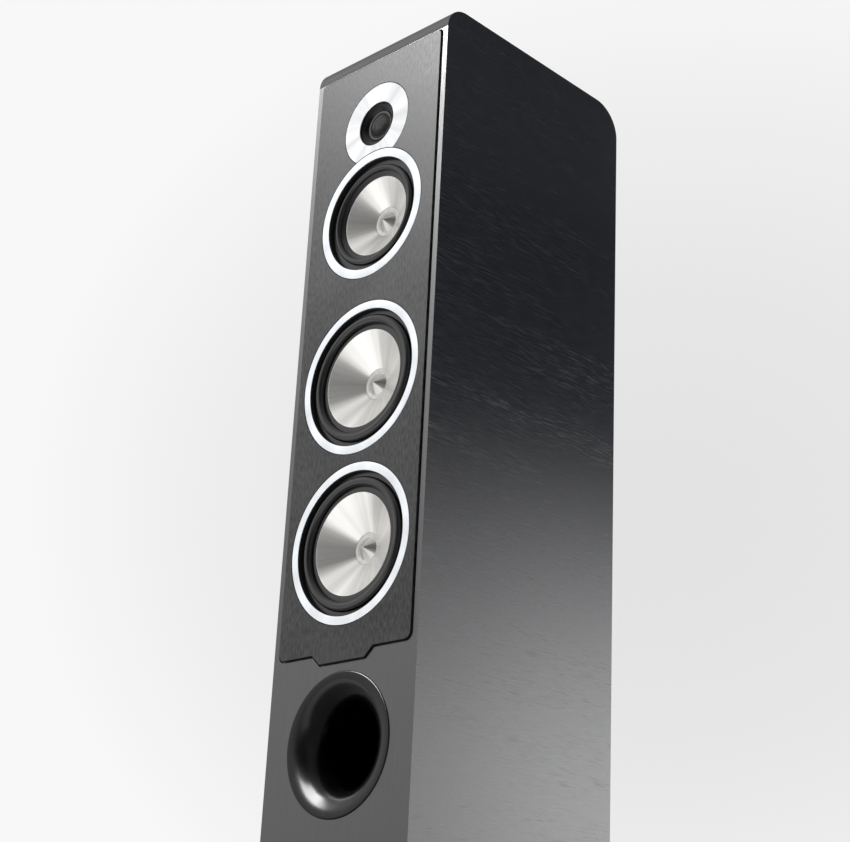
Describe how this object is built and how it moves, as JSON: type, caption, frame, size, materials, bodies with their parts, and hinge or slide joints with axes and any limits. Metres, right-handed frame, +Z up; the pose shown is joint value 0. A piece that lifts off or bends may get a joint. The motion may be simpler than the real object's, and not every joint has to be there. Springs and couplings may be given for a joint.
{
  "type": "floorstanding speaker",
  "caption": "Tall three-way floorstanding speaker: curved-top cabinet, proud baffle plate with ringed metal-cone drivers and a dome tweeter, flared front port, plinth on adjustable feet.",
  "frame": {"origin": "middle of the footprint, on the floor under the feet", "axes": "+Z up, -Y out of the front with the drivers, +X to the right for someone facing the front"},
  "size_m": [0.27, 0.37, 1.06],
  "materials": {
    "cabinet_veneer": "black stained wood grain under satin lacquer",
    "front_veneer": "graphite wood grain under gloss lacquer",
    "plate_finish": "graphite with a fine vertical brushed grain",
    "bright_aluminium": "diamond-turned",
    "cone_aluminium": "satin spun",
    "surround_rubber": "matt",
    "black_plastic": "fine satin",
    "gloss_black": "gloss",
    "dome_fabric": "coated soft dome",
    "grey_ring": "satin",
    "cast_frame": "black powder coat",
    "copper_coil": "enamelled wire",
    "spider_cloth": "resin-treated cloth",
    "ferrite": "sintered",
    "plated_steel": "zinc plated",
    "mdf": "raw board",
    "plinth_finish": "black satin lacquer",
    "foot_metal": "satin chrome",
    "gold_post": "gold plated",
    "clear_red": "gloss",
    "clear_black": "gloss",
    "board_green": "solder mask",
    "capacitor_film": "wrapped film",
    "lead_sheath": "soft sheath",
    "wadding": "loose fibre"
  },
  "bodies": {
    "cabinet": {"baffle_plate": "plate_finish", "binding_posts": "gold_post", "bottom_panel": "mdf", "crossover_board": "board_green", "crossover_capacitors": "capacitor_film", "crossover_inductors": "copper_coil", "damping_wadding": "wadding", "driver_front_plates": "plated_steel", "driver_magnets": "ferrite", "driver_yokes": "plated_steel", "foot_inserts": "plated_steel", "foot_lock_nuts": "plated_steel", "front_baffle": "front_veneer", "internal_wiring": "lead_sheath", "lower_woofer_basket": "cast_frame", "lower_woofer_spider": "spider_cloth", "lower_woofer_surround": "surround_rubber", "lower_woofer_trim_ring": "bright_aluminium", "midrange_basket": "cast_frame", "midrange_chamber": "black_plastic", "midrange_spider": "spider_cloth", "midrange_surround": "surround_rubber", "midrange_trim_ring": "bright_aluminium", "plinth": "plinth_finish", "plinth_bolts": "plated_steel", "port_flare": "gloss_black", "port_tube": "black_plastic", "rear_panel": "cabinet_veneer", "side_panel_left": "cabinet_veneer", "side_panel_right": "cabinet_veneer", "terminal_plate": "black_plastic", "top_panel": "cabinet_veneer", "tweeter_dome_ring": "grey_ring", "tweeter_faceplate": "bright_aluminium", "tweeter_horn": "black_plastic", "upper_woofer_basket": "cast_frame", "upper_woofer_spider": "spider_cloth", "upper_woofer_surround": "surround_rubber", "upper_woofer_trim_ring": "bright_aluminium", "window_braces": "mdf", "wood_screws": "plated_steel"},
    "upper_woofer_moving": {"upper_woofer_cone": "cone_aluminium", "upper_woofer_centre_cap": "cone_aluminium", "upper_woofer_voice_coil": "copper_coil"},
    "lower_woofer_moving": {"lower_woofer_cone": "cone_aluminium", "lower_woofer_centre_cap": "cone_aluminium", "lower_woofer_voice_coil": "copper_coil"},
    "midrange_moving": {"midrange_cone": "cone_aluminium", "midrange_centre_cap": "cone_aluminium", "midrange_voice_coil": "copper_coil"},
    "tweeter_moving": {"tweeter_dome": "dome_fabric", "tweeter_voice_coil": "copper_coil"},
    "positive_washer_body": {"positive_washer": "gold_post"},
    "positive_knob_body": {"positive_knob": "clear_red"},
    "negative_washer_body": {"negative_washer": "gold_post"},
    "negative_knob_body": {"negative_knob": "clear_black"},
    "foot_front_left_body": {"foot_front_left": "foot_metal"},
    "foot_front_right_body": {"foot_front_right": "foot_metal"},
    "foot_rear_left_body": {"foot_rear_left": "foot_metal"},
    "foot_rear_right_body": {"foot_rear_right": "foot_metal"}
  },
  "joints": [
    {"name": "upper_woofer_excursion", "type": "slide", "parent": "cabinet", "child": "upper_woofer_moving", "axis": [0, -1, 0], "range_m": [-0.006, 0.006], "stiffness_N_per_m": 1200, "deforming": ["upper_woofer_surround", "upper_woofer_spider"]},
    {"name": "lower_woofer_excursion", "type": "slide", "parent": "cabinet", "child": "lower_woofer_moving", "axis": [0, -1, 0], "range_m": [-0.006, 0.006], "stiffness_N_per_m": 1200, "deforming": ["lower_woofer_surround", "lower_woofer_spider"]},
    {"name": "midrange_excursion", "type": "slide", "parent": "cabinet", "child": "midrange_moving", "axis": [0, -1, 0], "range_m": [-0.003, 0.003], "stiffness_N_per_m": 1500, "deforming": ["midrange_surround", "midrange_spider"]},
    {"name": "tweeter_excursion", "type": "slide", "parent": "cabinet", "child": "tweeter_moving", "axis": [0, -1, 0], "range_m": [-0.0004, 0.0004], "stiffness_N_per_m": 2500},
    {"name": "positive_post_open", "type": "slide", "parent": "cabinet", "child": "positive_washer_body", "axis": [0, 1, 0], "range_m": [0, 0.004]},
    {"name": "positive_knob_turn", "type": "hinge", "parent": "positive_washer_body", "child": "positive_knob_body", "pos_m": [0.019, 0.15, 0.19], "axis": [0, -1, 0], "range_deg": [0, 1440]},
    {"name": "negative_post_open", "type": "slide", "parent": "cabinet", "child": "negative_washer_body", "axis": [0, 1, 0], "range_m": [0, 0.004]},
    {"name": "negative_knob_turn", "type": "hinge", "parent": "negative_washer_body", "child": "negative_knob_body", "pos_m": [-0.019, 0.15, 0.19], "axis": [0, -1, 0], "range_deg": [0, 1440]},
    {"name": "foot_front_left_height", "type": "slide", "parent": "cabinet", "child": "foot_front_left_body", "axis": [0, 0, -1], "range_m": [0, 0.008]},
    {"name": "foot_front_right_height", "type": "slide", "parent": "cabinet", "child": "foot_front_right_body", "axis": [0, 0, -1], "range_m": [0, 0.008]},
    {"name": "foot_rear_left_height", "type": "slide", "parent": "cabinet", "child": "foot_rear_left_body", "axis": [0, 0, -1], "range_m": [0, 0.008]},
    {"name": "foot_rear_right_height", "type": "slide", "parent": "cabinet", "child": "foot_rear_right_body", "axis": [0, 0, -1], "range_m": [0, 0.008]}
  ],
  "couplings": [
    {"joint": "positive_knob_turn", "follows": "positive_post_open", "rad_per_m": 6283.2},
    {"joint": "negative_knob_turn", "follows": "negative_post_open", "rad_per_m": 6283.2}
  ]
}
